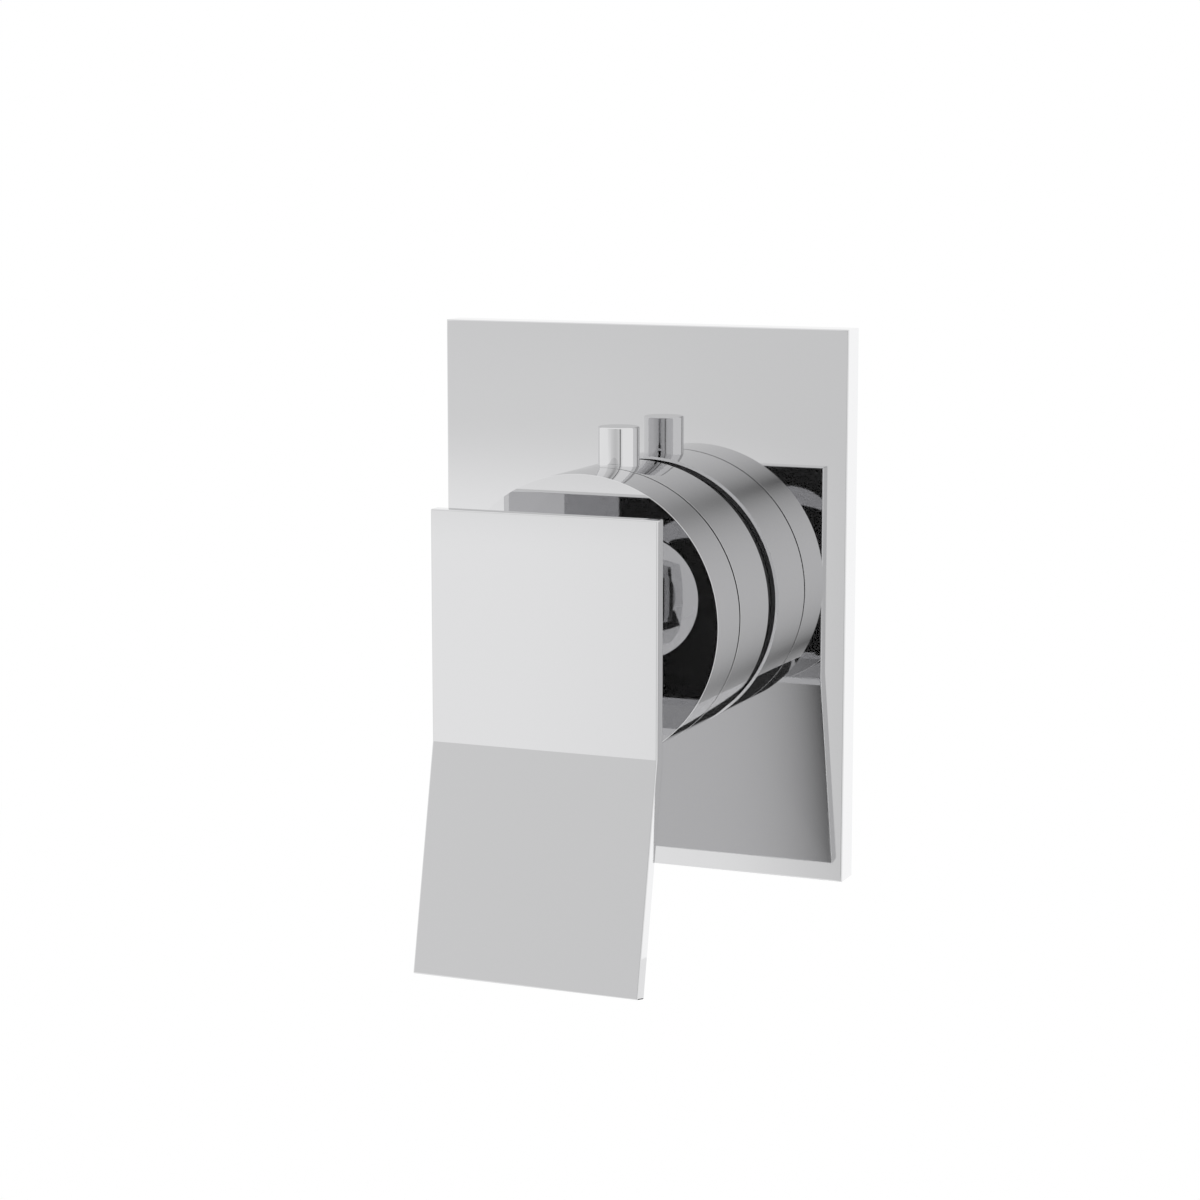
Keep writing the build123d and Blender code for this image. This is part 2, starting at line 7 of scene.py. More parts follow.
import json
from math import cos, pi, radians, sin, sqrt, tan

import bmesh
import bpy
from bpy.props import FloatProperty, FloatVectorProperty, PointerProperty
from mathutils import Matrix, Vector


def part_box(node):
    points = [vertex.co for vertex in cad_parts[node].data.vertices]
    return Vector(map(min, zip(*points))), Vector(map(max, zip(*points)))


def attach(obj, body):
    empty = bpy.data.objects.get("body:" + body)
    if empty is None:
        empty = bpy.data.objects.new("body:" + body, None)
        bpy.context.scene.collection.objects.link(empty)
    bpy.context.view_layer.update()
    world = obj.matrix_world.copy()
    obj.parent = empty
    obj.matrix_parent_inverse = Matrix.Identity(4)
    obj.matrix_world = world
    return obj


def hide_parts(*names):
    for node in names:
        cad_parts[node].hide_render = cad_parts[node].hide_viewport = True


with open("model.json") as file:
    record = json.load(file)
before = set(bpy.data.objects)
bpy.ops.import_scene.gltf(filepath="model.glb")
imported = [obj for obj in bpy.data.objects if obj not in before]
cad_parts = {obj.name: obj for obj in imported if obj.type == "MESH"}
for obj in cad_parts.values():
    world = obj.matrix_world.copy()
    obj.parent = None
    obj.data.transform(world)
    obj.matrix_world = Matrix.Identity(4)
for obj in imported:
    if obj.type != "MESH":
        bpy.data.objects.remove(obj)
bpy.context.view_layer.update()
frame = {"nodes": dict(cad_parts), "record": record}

bl_info = {
    "name": "Concealed shower control",
    "version": (1, 0, 0),
    "blender": (4, 5, 0),
    "location": "View3D > Sidebar > Shower",
    "description": "Builds the chrome trim of a concealed shower control around its valve body",
    "category": "Add Mesh",
}

MM = 0.001

PLATE_LOW, PLATE_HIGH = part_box("wall_plate")
RING_LOW, RING_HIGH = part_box("diverter_ring")
COVER_LOW, COVER_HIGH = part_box("front_cover")
PIN_LOW, PIN_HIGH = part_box("diverter_pin")
HUB_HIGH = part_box("handle_hub")[1]
SLAB_LOW, SLAB_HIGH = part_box("lever_handle")
RING_SCREW_LOW, RING_SCREW_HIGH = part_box("diverter_grub_screws")
COVER_SCREW_LOW, COVER_SCREW_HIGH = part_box("cover_grub_screw")
HUB_SCREW_LOW, HUB_SCREW_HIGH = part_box("handle_grub_screw")

AXIS = Vector((0.0, 1.0, 0.0))
UP = Vector((0.0, 0.0, 1.0))
ORIGIN = Vector((0.0, 0.0, 0.0))
FULL_TURN = 2 * pi

# Steps round a full turn, and from the dome's top to its rim
BODY_STEPS = 320
PLATE_STEPS = 256
DOME_STEPS = 256
HUB_STEPS = 192
PIN_STEPS = 128
HOLE_STEPS = 96
SADDLE_STEPS = 512
DOME_ARC_STEPS = 48

# Edges that turn more than this are parted, and so are the slab's long edges between the other two
SHARP_ANGLE = radians(32)
FLATTEST_CREASE = radians(3)
STEEPEST_CREASE = radians(15)
SAME_PLACE = 0.0005 * MM
ON_AXIS = 0.001 * MM

CHROME = "polished_chromium_plate"
MATH = "ShaderNodeMath"
MAP_RANGE = "ShaderNodeMapRange"
SMOOTH = {"interpolation_type": "SMOOTHSTEP"}

# The camera of the photograph, tilted down to look at the object
CAMERA_PLACE = Vector((278.56, -700.65, 116.51)) * MM
CAMERA_YAW = radians(22.725)
CAMERA_PITCH = radians(-8.931)
CAMERA_LENS = 88.04
CAMERA_SENSOR = 36.0


def size(name, default, description):
    """A length that a user can set."""
    return FloatProperty(name=name, description=description, default=default, min=0.0, unit="LENGTH")


def angle(name, degrees, description):
    """An angle that a user can set, given here in degrees."""
    return FloatProperty(name=name, description=description, default=radians(degrees), subtype="ANGLE")


def share(name, default, description):
    """A light's strength, or another plain number, that a user can set."""
    return FloatProperty(
        name=name, description=description, default=default, min=0.0, soft_max=2.0, subtype="FACTOR"
    )


def tone(name, code, description):
    """A colour that a user can set, from its sRGB hex code."""
    return FloatVectorProperty(
        name=name, description=description, default=linear(code), size=4, subtype="COLOR", min=0.0, max=1.0
    )


def linear(code):
    """The linear colour of an sRGB hex code."""
    levels = [int(code[start : start + 2], 16) / 255 for start in (1, 3, 5)]
    return [*(v / 12.92 if v <= 0.04045 else ((v + 0.055) / 1.055) ** 2.4 for v in levels), 1.0]


class ShowerTrimSizes(bpy.types.PropertyGroup):
    """Sizes of the chrome trim that the frame's boxes don't give."""

    plate_face: size("Plate face", 2.5 * MM, "Thickness of the plate's front face")
    plate_wall: size("Plate wall", 2.2 * MM, "Thickness of the plate's four walls")
    plate_edge: size("Plate edge", 0.4 * MM, "Rounding of the plate's front edges")
    plate_hole: size("Plate hole", 30.91 * MM, "Radius of the hole for the valve body")
    shell_wall: size("Shell wall", 3.0 * MM, "Wall of the diverter ring and of the cover's skirt")
    ring_chamfer: size("Ring chamfer", 0.6 * MM, "Chamfer on the ring's rear edge")
    fine_edge: size("Fine edge", 0.06 * MM, "Broken edges beside the groove")
    groove_reveal: size("Groove reveal", 0.15 * MM, "How far ring and cover each stand back from the groove")
    cover_face: size("Cover face", 2.5 * MM, "Thickness of the mirror disc")
    cover_edge: size("Cover edge", 0.1 * MM, "Chamfer round the mirror disc")
    dome_gap: size("Dome gap", 0.5 * MM, "Gap between the dome and its opening")
    dome_radius: size("Dome radius", 24.0 * MM, "Radius of the dome's ball about the lever's pivot")
    dome_wall: size("Dome wall", 2.0 * MM, "Thickness of the dome")
    dome_rim: angle("Dome rim", 58.0, "Angle from the dome's own axis to its rim")
    dome_tilt: angle("Dome tilt", 8.0, "How far the dome's own axis points down")
    pivot: size("Pivot", 30.0 * MM, "Stand-off of the lever's pivot")
    hub_land: size("Hub land", 0.5 * MM, "How far the flat under the hub reaches past it")
    pin_edge: size("Peg edge", 0.45 * MM, "Rounding of the peg's top edge")
    slab_thickness: size("Slab thickness", 3.7 * MM, "Thickness of the lever slab's upper half")
    slab_crease: size("Slab crease", 28.2 * MM, "Drop of the slab's crease below the axis")
    slab_lower: size("Slab lower half", 56.4 * MM, "Length of the slab's face below the crease")
    slab_tilt: angle("Slab tilt", 12.2, "Angle of the slab's lower half")
    facet_top: size("Facet top", 29.4 * MM, "Drop of the upper edge of the flat on the bend's back")
    facet_bottom: size("Facet bottom", 31.3 * MM, "Drop of the lower edge of the flat on the bend's back")
    slab_edge: size("Slab edge", 0.3 * MM, "Rounding of the slab's edges")
    ring_screw_hole: size("Ring screw hole", 2.05 * MM, "Radius of the two screw holes in the ring")
    cover_screw_hole: size("Cover screw hole", 1.55 * MM, "Radius of the screw hole in the cover")
    hub_screw_hole: size("Hub screw hole", 2.55 * MM, "Radius of the screw hole in the hub")
    screw_at_side: angle("Screw at the side", 200.0, "Place of the ring's side screw, 0 right and 90 up")
    screw_below: angle("Screws below", 270.0, "Place of the screws below, 0 right and 90 up")


class ShowerTrimFinish(bpy.types.PropertyGroup):
    """Colours of the finishes."""

    chrome: tone("Chrome", "#DBDBDC", "Polished chromium plate")
    brass: tone("Brass", "#B99B5B", "Cast and machined brass")
    steel: tone("Steel", "#BFC0C2", "Bright turned stainless steel")
    black: tone("Black plastic", "#101011", "Black ABS")
    grey: tone("Grey plastic", "#8E9092", "Grey acetal")
    rubber: tone("Rubber", "#0D0D0E", "Nitrile rubber")
    foam: tone("Foam", "#2A2A2C", "Closed-cell foam")
    ceramic: tone("Ceramic", "#E7E4DC", "Lapped alumina")
    floor: tone("Floor", "#FFFFFF", "Pale floor")


class ShowerStage(bpy.types.PropertyGroup):
    """The floor and the light cards.

    A place on a card is given as an angle: its distance from the card's middle over the card's distance."""

    floor_drop: size("Floor drop", 950 * MM, "Depth of the floor below the valve's axis")
    floor_radius: size("Floor radius", 4.0, "Radius of the floor")
    card_distance: size("Card distance", 1.2, "Distance of the light cards from the object")

    card_level: share("Card level", 0.82, "Strength of the front card")
    card_least: share("Least level", 0.02, "Strength of the front card where it is darkest")
    card_reach: angle("Card reach", 58.0, "Half the front card's width, as the object sees it")
    fade_start: angle("Fade start", 40.0, "Where the front card starts to fade to white")
    fade_end: angle("Fade end", 58.0, "Where it has faded to white")
    patch_height: angle("Patch height", 20.5, "How far up and down the two dark patches are")
    patch_across: angle("Patch across", 5.2, "How far right the dark patches are")
    patch_spread: angle("Patch spread", 9.0, "Distance over which the patches fade")
    patch_depth: share("Patch depth", 0.68, "How dark the patches are")
    low_light: share("Low light", 0.2, "Extra strength low on the left")
    low_light_top: angle("Low light top", -3.5, "Height where it starts")
    low_light_bottom: angle("Low light bottom", -7.5, "Height where it is full")
    low_light_right: angle("Low light right", -15.0, "Place across where it starts")
    low_light_left: angle("Low light left", -20.5, "Place across where it is full")
    left_light: share("Left light", 0.04, "Extra strength at the far left")
    left_light_top: angle("Left light top", 1.0, "Height where it starts")
    left_light_bottom: angle("Left light bottom", -4.0, "Height where it is full")
    left_light_right: angle("Left light right", -17.0, "Place across where it starts")
    left_light_left: angle("Left light left", -26.0, "Place across where it is full")
    line_across: angle("Line across", 33.0, "How far right the thin dark line is")
    line_core: angle("Line core", 2.0, "Half the line's width where it is darkest")
    line_rim: angle("Line rim", 4.5, "Half the line's width where it ends")
    line_depth: share("Line depth", 0.75, "How dark the line is")

    side_level: share("Side level", 1.2, "Strength of the bright side card")
    side_across: angle("Side across", 158.0, "Direction of the side card, 0 towards the user and 90 right")
    side_height: angle("Side height", -6.0, "Height of the side card")
    side_reach: angle("Side reach", 14.0, "Half its size, as the object sees it")

    low_card_level: share("Low card level", 0.8, "Strength of the low card's pale end")
    shade_level: share("Shade level", 0.03, "Strength of its dark part")
    shade_edge: angle("Shade edge", -17.62, "Place across where the dark part ends")
    shade_spread: angle("Shade spread", 1.385, "Distance over which the dark part fades")
    shade_lean: share("Shade lean", 0.25, "How much that end leans to the left as it rises")
    low_card_height: angle("Low card height", -38.0, "Height of the low card")
    low_card_wide: angle("Low card wide", 35.0, "Half its width, as the object sees it")
    low_card_high: angle("Low card high", 14.0, "Half its height, as the object sees it")


def sizes():
    """The trim's sizes, as the user has set them."""
    return bpy.context.scene.shower_trim_sizes


def finish():
    """The finishes' colours, as the user has set them."""
    return bpy.context.scene.shower_trim_finish


def stage():
    """The stage's settings, as the user has set them."""
    return bpy.context.scene.shower_stage


def add_node(tree, kind, settings=None, *inputs, **named_inputs):
    """Add a node, set its properties, and set or link its inputs, in their order or by name.

    A node that is given as an input stands for its first output."""
    node = tree.nodes.new(kind)
    for name, value in (settings or {}).items():
        setattr(node, name, value)
    pairs = [*zip(node.inputs, inputs)]
    pairs += [(node.inputs[name.replace("_", " ")], value) for name, value in named_inputs.items()]
    for socket, value in pairs:
        if isinstance(value, bpy.types.Node):
            value = value.outputs[0]
        if isinstance(value, bpy.types.NodeSocket):
            tree.links.new(value, socket)
        else:
            socket.default_value = value
    return node


def new_material(name):
    """An empty node material and its node tree."""
    material = bpy.data.materials.new(name)
    material.use_nodes = True
    material.node_tree.nodes.clear()
    return material, material.node_tree


def chrome():
    """The chrome of all the trim, made at its first use."""
    return bpy.data.materials.get(CHROME) or polished_chrome()


def polished_chrome():
    """Bright chromium plate on polished brass: a clean neutral mirror, with the faint haze of buffing."""
    haze_size = 18 * MM
    clearest, haziest = 0.012, 0.028
    material, tree = new_material(CHROME)
    place = add_node(tree, "ShaderNodeTexCoord").outputs["Object"]
    haze = add_node(tree, "ShaderNodeTexNoise", Vector=place, Scale=1 / haze_size, Detail=3.0)
    gloss = add_node(tree, MAP_RANGE, None, haze.outputs["Fac"], 0.35, 0.65, clearest, haziest)
    shader = add_node(
        tree, "ShaderNodeBsdfPrincipled", Base_Color=finish().chrome, Metallic=0.99, Roughness=gloss
    )
    add_node(tree, "ShaderNodeOutputMaterial", Surface=shader)
    return material


def grained(name, colour, metallic, gloss, grain, relief):
    """A material whose grain, of a real size, makes the gloss uneven and the skin rough by a real depth."""
    material, tree = new_material(name)
    place = add_node(tree, "ShaderNodeTexCoord").outputs["Object"]
    noise = add_node(tree, "ShaderNodeTexNoise", Vector=place, Scale=1 / grain, Detail=4.0).outputs["Fac"]
    rough = add_node(tree, MAP_RANGE, SMOOTH, noise, 0.3, 0.7, *gloss)
    bump = add_node(tree, "ShaderNodeBump", Height=noise, Distance=relief)
    shader = add_node(
        tree,
        "ShaderNodeBsdfPrincipled",
        Base_Color=colour,
        Metallic=metallic,
        Roughness=rough,
        Normal=bump,
    )
    add_node(tree, "ShaderNodeOutputMaterial", Surface=shader)
    return material


def turned_steel():
    """Stainless steel off the lathe: fine rings about the valve's axis that draw the highlights out."""
    ring_scale, ring_depth = 3.2 * MM, 0.004 * MM
    brightest, dullest = 0.22, 0.34
    material, tree = new_material("turned_stainless_steel")
    place = add_node(tree, "ShaderNodeTexCoord").outputs["Object"]
    bands = {"wave_type": "BANDS", "bands_direction": "Y"}
    rings = add_node(
        tree, "ShaderNodeTexWave", bands, Vector=place, Scale=1 / ring_scale, Distortion=1.5, Detail=2.0
    ).outputs["Fac"]
    rough = add_node(tree, MAP_RANGE, SMOOTH, rings, 0.0, 1.0, brightest, dullest)
    bump = add_node(tree, "ShaderNodeBump", Height=rings, Distance=ring_depth)
    shader = add_node(
        tree,
        "ShaderNodeBsdfPrincipled",
        Base_Color=finish().steel,
        Metallic=1.0,
        Roughness=rough,
        Normal=bump,
    )
    add_node(tree, "ShaderNodeOutputMaterial", Surface=shader)
    return material


def closed_foam():
    """Dark polyethylene foam: small closed cells that make it matt and soft to the eye."""
    cell_size, cell_depth = 0.7 * MM, 0.12 * MM
    material, tree = new_material("closed_cell_foam")
    place = add_node(tree, "ShaderNodeTexCoord").outputs["Object"]
    cells = add_node(tree, "ShaderNodeTexVoronoi", Vector=place, Scale=1 / cell_size).outputs["Distance"]
    bump = add_node(tree, "ShaderNodeBump", Height=cells, Distance=cell_depth)
    shader = add_node(
        tree, "ShaderNodeBsdfPrincipled", Base_Color=finish().foam, Roughness=0.92, Normal=bump
    )
    add_node(tree, "ShaderNodeOutputMaterial", Surface=shader)
    return material


def shade(bm):
    """Smooth faces, parted at every edge that turns sharply. Edges parted before stay so."""
    for face in bm.faces:
        face.smooth = True
    for edge in bm.edges:
        if edge.is_manifold and edge.calc_face_angle() > SHARP_ANGLE:
            edge.smooth = False


def piece_from(bm, name):
    """Write a bmesh into a new object at the origin."""
    bmesh.ops.remove_doubles(bm, verts=bm.verts, dist=SAME_PLACE)
    bmesh.ops.recalc_face_normals(bm, faces=bm.faces)
    shade(bm)
    mesh = bpy.data.meshes.new(name)
    bm.to_mesh(mesh)
    bm.free()
    piece = bpy.data.objects.new(name, mesh)
    bpy.context.scene.collection.objects.link(piece)
    return piece


def carve(piece, cutter):
    """Cut one piece out of another for good, and clear the cutter away."""
    cut = piece.modifiers.new("Cut", "BOOLEAN")
    cut.operation = "DIFFERENCE"
    cut.solver = "EXACT"
    cut.object = cutter
    evaluated = piece.evaluated_get(bpy.context.evaluated_depsgraph_get())
    mesh = bpy.data.meshes.new_from_object(evaluated)
    piece.modifiers.clear()
    bm = bmesh.new()
    bm.from_mesh(mesh)
    shade(bm)
    bm.to_mesh(mesh)
    bm.free()
    piece.data = mesh
    bpy.data.objects.remove(cutter)


def dress(piece, material, body, slot, *nodes):
    """Give a piece its mirror shading and material, and put it in the place of its CAD nodes."""
    piece.data.materials.clear()
    piece.data.materials.append(material)
    shading = piece.modifiers.new("Even shading", "WEIGHTED_NORMAL")
    shading.mode = "FACE_AREA"
    shading.weight = 100
    shading.keep_sharp = True
    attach(piece, body)
    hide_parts(*nodes)
    return piece


def half_section(*points):
    """Corners of a half section through the valve, from pairs of radius and stand-off."""
    return [(radius, -stand_off, 0.0) for radius, stand_off in points]


def outline(bm, corners, roundings=()):
    """A closed outline through some corners, with some of them rounded.

    Each rounding is (corner's number, radius, segments). One segment makes a chamfer."""
    verts = [bm.verts.new(corner) for corner in corners]
    bm.faces.new(verts)
    for number, radius, segments in roundings:
        bmesh.ops.bevel(
            bm,
            geom=[verts[number]],
            offset=radius,
            offset_type="OFFSET",
            segments=segments,
            profile=0.5,
            affect="VERTICES",
            material=-1,
        )
    bmesh.ops.delete(bm, geom=list(bm.faces), context="FACES_ONLY")


def drop_axis_edges(bm):
    """Delete the outline's edges that lie on the turning axis."""
    middle = [e for e in bm.edges if all(v.co.x < ON_AXIS for v in e.verts)]
    bmesh.ops.delete(bm, geom=middle, context="EDGES")


def turned(bm, steps, centre=ORIGIN, axis=AXIS):
    """Spin all the outline's edges a full turn."""
    edges = [*bm.verts, *bm.edges]
    bmesh.ops.spin(bm, geom=edges, cent=centre, axis=axis, angle=FULL_TURN, steps=steps, use_merge=True)


def rod(name, radius, start, end, steps):
    """A plain round bar from one point to another, used as a cutter."""
    bm = bmesh.new()
    turn = (end - start).to_track_quat("Z", "Y").to_matrix().to_4x4()
    place = Matrix.Translation((start + end) / 2) @ turn
    length = (end - start).length
    bmesh.ops.create_cone(
        bm, cap_ends=True, segments=steps, radius1=radius, radius2=radius, depth=length, matrix=place
    )
    return piece_from(bm, name)


def drill(piece, radius, screw_low, screw_high, around, inner, outer):
    """Drill a screw's hole across the valve's axis, at an angle of 0 right and 90 up."""
    foot = Vector((0.0, (screw_low.y + screw_high.y) / 2, 0.0))
    outward = Vector((cos(around), 0.0, sin(around)))
    carve(piece, rod("screw_hole", radius, foot + outward * inner, foot + outward * outer, HOLE_STEPS))


def close_loop(bm, verts):
    """Join vertices into a ring of edges."""
    return [bm.edges.new((verts[number - 1], verts[number])) for number in range(len(verts))]


def square_loop(bm, half_width, half_height, y):
    """A rectangle's outline as a ring of edges, with a vertex on every ray that the hole has."""
    verts = []
    for number in range(PLATE_STEPS):
        turn = FULL_TURN * number / PLATE_STEPS
        reach = max(abs(cos(turn)), abs(sin(turn)))
        verts.append(bm.verts.new((half_width * cos(turn) / reach, y, half_height * sin(turn) / reach)))
    return close_loop(bm, verts)


def round_loop(bm, radius, y):
    """A circle about the valve's axis as a ring of edges."""
    verts = []
    for number in range(PLATE_STEPS):
        turn = FULL_TURN * number / PLATE_STEPS
        verts.append(bm.verts.new((radius * cos(turn), y, radius * sin(turn))))
    return close_loop(bm, verts)


def hub_seat():
    """Stand-off of the flat on the dome that the hub sits on."""
    s = sizes()
    return s.pivot + sqrt(s.dome_radius**2 - (HUB_HIGH.x + s.hub_land) ** 2)


class SHOWER_OT_wall_plate(bpy.types.Operator):
    """Wall plate: a shallow rectangular shell with a round hole"""

    bl_idname = "shower.wall_plate"
    bl_label = "Wall plate"

    def execute(self, context):
        s = sizes()
        half_width, half_height = PLATE_HIGH.x, PLATE_HIGH.z
        inner_width, inner_height = half_width - s.plate_wall, half_height - s.plate_wall
        front, rear = PLATE_LOW.y, PLATE_HIGH.y
        inside = front + s.plate_face
        bm = bmesh.new()
        loops = [
            round_loop(bm, s.plate_hole, front),
            square_loop(bm, half_width, half_height, front),
            square_loop(bm, half_width, half_height, rear),
            square_loop(bm, inner_width, inner_height, rear),
            square_loop(bm, inner_width, inner_height, inside),
            round_loop(bm, s.plate_hole, inside),
        ]
        for number, loop in enumerate(loops):
            bmesh.ops.bridge_loops(bm, edges=[*loops[number - 1], *loop])
        border = loops[1]
        bmesh.ops.bevel(
            bm, geom=border, offset=s.plate_edge, segments=5, profile=0.5, affect="EDGES", material=-1
        )
        plate = piece_from(bm, "chrome_wall_plate")
        dress(plate, chrome(), "fixed_body", "mirror_chrome", "wall_plate")
        return {"FINISHED"}


class SHOWER_OT_diverter_ring(bpy.types.Operator):
    """Diverter ring: the rear half of the round body, with its screw holes"""

    bl_idname = "shower.diverter_ring"
    bl_label = "Diverter ring"

    def execute(self, context):
        s = sizes()
        radius, front, rear = RING_HIGH.x, -RING_LOW.y - s.groove_reveal, -RING_HIGH.y
        bore = radius - s.shell_wall
        corners = half_section((bore, rear), (radius, rear), (radius, front), (bore, front))
        bm = bmesh.new()
        outline(bm, corners, [(1, s.ring_chamfer, 1), (2, s.fine_edge, 3)])
        turned(bm, BODY_STEPS)
        ring = piece_from(bm, "chrome_diverter_ring")
        inner, outer = bore - s.shell_wall, radius + s.shell_wall
        for around in (s.screw_at_side, s.screw_below):
            drill(ring, s.ring_screw_hole, RING_SCREW_LOW, RING_SCREW_HIGH, around, inner, outer)
        dress(ring, chrome(), "diverter", "mirror_chrome", "diverter_ring")
        return {"FINISHED"}


class SHOWER_OT_diverter_pin(bpy.types.Operator):
    """Peg on the diverter ring, saddled on its round"""

    bl_idname = "shower.diverter_pin"
    bl_label = "Diverter peg"

    def execute(self, context):
        s = sizes()
        radius, ring_radius = PIN_HIGH.x, RING_HIGH.x
        top, foot = PIN_HIGH.z, ring_radius - s.shell_wall
        centre = Vector((0.0, (PIN_LOW.y + PIN_HIGH.y) / 2, 0.0))
        corners = [(x, centre.y, z) for x, z in ((0.0, foot), (radius, foot), (radius, top), (0.0, top))]
        bm = bmesh.new()
        outline(bm, corners, [(2, s.pin_edge, 8)])
        drop_axis_edges(bm)
        turned(bm, PIN_STEPS, centre=centre, axis=UP)
        pin = piece_from(bm, "chrome_diverter_peg")
        start, end = Vector((0, PIN_LOW.y - radius, 0)), Vector((0, PIN_HIGH.y + radius, 0))
        carve(pin, rod("ring_round", ring_radius, start, end, SADDLE_STEPS))
        dress(pin, chrome(), "diverter", "mirror_chrome", "diverter_pin")
        return {"FINISHED"}


class SHOWER_OT_front_cover(bpy.types.Operator):
    """Front cover: flat mirror disc with a short skirt and the opening for the dome"""

    bl_idname = "shower.front_cover"
    bl_label = "Front cover"

    def execute(self, context):
        s = sizes()
        radius, front, rear = COVER_HIGH.x, -COVER_LOW.y, -COVER_HIGH.y + s.groove_reveal
        bore = radius - s.shell_wall
        inside = front - s.cover_face
        ball = s.dome_radius + s.dome_gap
        front_opening = sqrt(ball**2 - (front - s.pivot) ** 2)
        rear_opening = sqrt(ball**2 - (inside - s.pivot) ** 2)
        corners = half_section(
            (bore, rear),
            (radius, rear),
            (radius, front),
            (front_opening, front),
            (rear_opening, inside),
            (bore, inside),
        )
        bm = bmesh.new()
        outline(bm, corners, [(1, s.fine_edge, 3), (2, s.cover_edge, 1)])
        turned(bm, BODY_STEPS)
        cover = piece_from(bm, "chrome_front_cover")
        inner, outer = bore - s.shell_wall, radius + s.shell_wall
        drill(cover, s.cover_screw_hole, COVER_SCREW_LOW, COVER_SCREW_HIGH, s.screw_below, inner, outer)
        dress(cover, chrome(), "fixed_body", "mirror_chrome", "front_cover")
        return {"FINISHED"}


class SHOWER_OT_lever(bpy.types.Operator):
    """Lever: bent slab, hub and the dome that closes the opening"""

    bl_idname = "shower.lever"
    bl_label = "Lever"

    def execute(self, context):
        self.make_slab()
        self.make_hub()
        self.make_dome()
        return {"FINISHED"}

    def make_slab(self):
        """The slab, bent at its crease, whose bend has a narrow flat on its back."""
        s = sizes()
        back = -SLAB_HIGH.y
        front = back + s.slab_thickness
        # Stand-off and height of one step down the lower half, and of one step into it
        slope = (sin(s.slab_tilt), -cos(s.slab_tilt))
        inward = (-cos(s.slab_tilt), -sin(s.slab_tilt))
        low_front = (front + s.slab_lower * slope[0], -s.slab_crease + s.slab_lower * slope[1])
        facet_low = (back + (s.facet_bottom - s.facet_top) * tan(s.slab_tilt / 2), -s.facet_bottom)
        thickness = (facet_low[0] - front) * inward[0] + (facet_low[1] + s.slab_crease) * inward[1]
        low_back = (low_front[0] + thickness * inward[0], low_front[1] + thickness * inward[1])
        profile = [
            (back, SLAB_HIGH.z),
            (front, SLAB_HIGH.z),
            (front, -s.slab_crease),
            low_front,
            low_back,
            facet_low,
            (back, -s.facet_top),
        ]
        bm = bmesh.new()
        side = bm.faces.new([bm.verts.new((SLAB_LOW.x, -stand_off, z)) for stand_off, z in profile])
        grown = bmesh.ops.extrude_face_region(bm, geom=[side])
        moved = [v for v in grown["geom"] if isinstance(v, bmesh.types.BMVert)]
        bmesh.ops.translate(bm, verts=moved, vec=(SLAB_HIGH.x - SLAB_LOW.x, 0, 0))
        bmesh.ops.recalc_face_normals(bm, faces=bm.faces)
        rim = [e for e in bm.edges if e.calc_face_angle() > SHARP_ANGLE]
        bmesh.ops.bevel(
            bm, geom=rim, offset=s.slab_edge, segments=4, profile=0.5, affect="EDGES", material=-1
        )
        # The crease and the flat's two edges run the slab's width and stay crisp
        for edge in bm.edges:
            across = edge.calc_length() > HUB_HIGH.x
            if across and FLATTEST_CREASE < edge.calc_face_angle() < STEEPEST_CREASE:
                edge.smooth = False
        slab = piece_from(bm, "chrome_lever_slab")
        dress(slab, chrome(), "lever", "mirror_chrome", "lever_handle")

    def make_hub(self):
        """The round neck between the dome and the slab."""
        s = sizes()
        radius, seat, end = HUB_HIGH.x, hub_seat(), -SLAB_HIGH.y
        bm = bmesh.new()
        outline(bm, half_section((0.0, seat), (radius, seat), (radius, end), (0.0, end)))
        drop_axis_edges(bm)
        turned(bm, HUB_STEPS)
        hub = piece_from(bm, "chrome_lever_hub")
        drill(hub, s.hub_screw_hole, HUB_SCREW_LOW, HUB_SCREW_HIGH, s.screw_below, radius / 2, radius * 2)
        dress(hub, chrome(), "lever", "mirror_chrome", "handle_hub")

    def make_dome(self):
        """The dome: a cap of a ball about the lever's pivot, cut flat under the hub."""
        s = sizes()
        pivot = Vector((0.0, -s.pivot, 0.0))
        outwards = range(DOME_ARC_STEPS + 1)
        arcs = ((s.dome_radius, outwards), (s.dome_radius - s.dome_wall, reversed(outwards)))
        verts = []
        bm = bmesh.new()
        for radius, numbers in arcs:
            for number in numbers:
                turn = s.dome_rim * number / DOME_ARC_STEPS
                verts.append(bm.verts.new((radius * sin(turn), -s.pivot - radius * cos(turn), 0.0)))
        for first, second in zip(verts, verts[1:]):
            bm.edges.new((first, second))
        turned(bm, DOME_STEPS, centre=pivot)
        bmesh.ops.rotate(bm, verts=bm.verts, cent=pivot, matrix=Matrix.Rotation(s.dome_tilt, 3, "X"))
        bmesh.ops.remove_doubles(bm, verts=bm.verts, dist=SAME_PLACE)
        bmesh.ops.bisect_plane(
            bm,
            geom=[*bm.verts, *bm.edges, *bm.faces],
            plane_co=(0.0, -hub_seat(), 0.0),
            plane_no=(0.0, -1.0, 0.0),
            clear_outer=True,
        )
        dome = piece_from(bm, "chrome_dome_cap")
        dress(dome, chrome(), "lever", "mirror_chrome", "dome_cap")


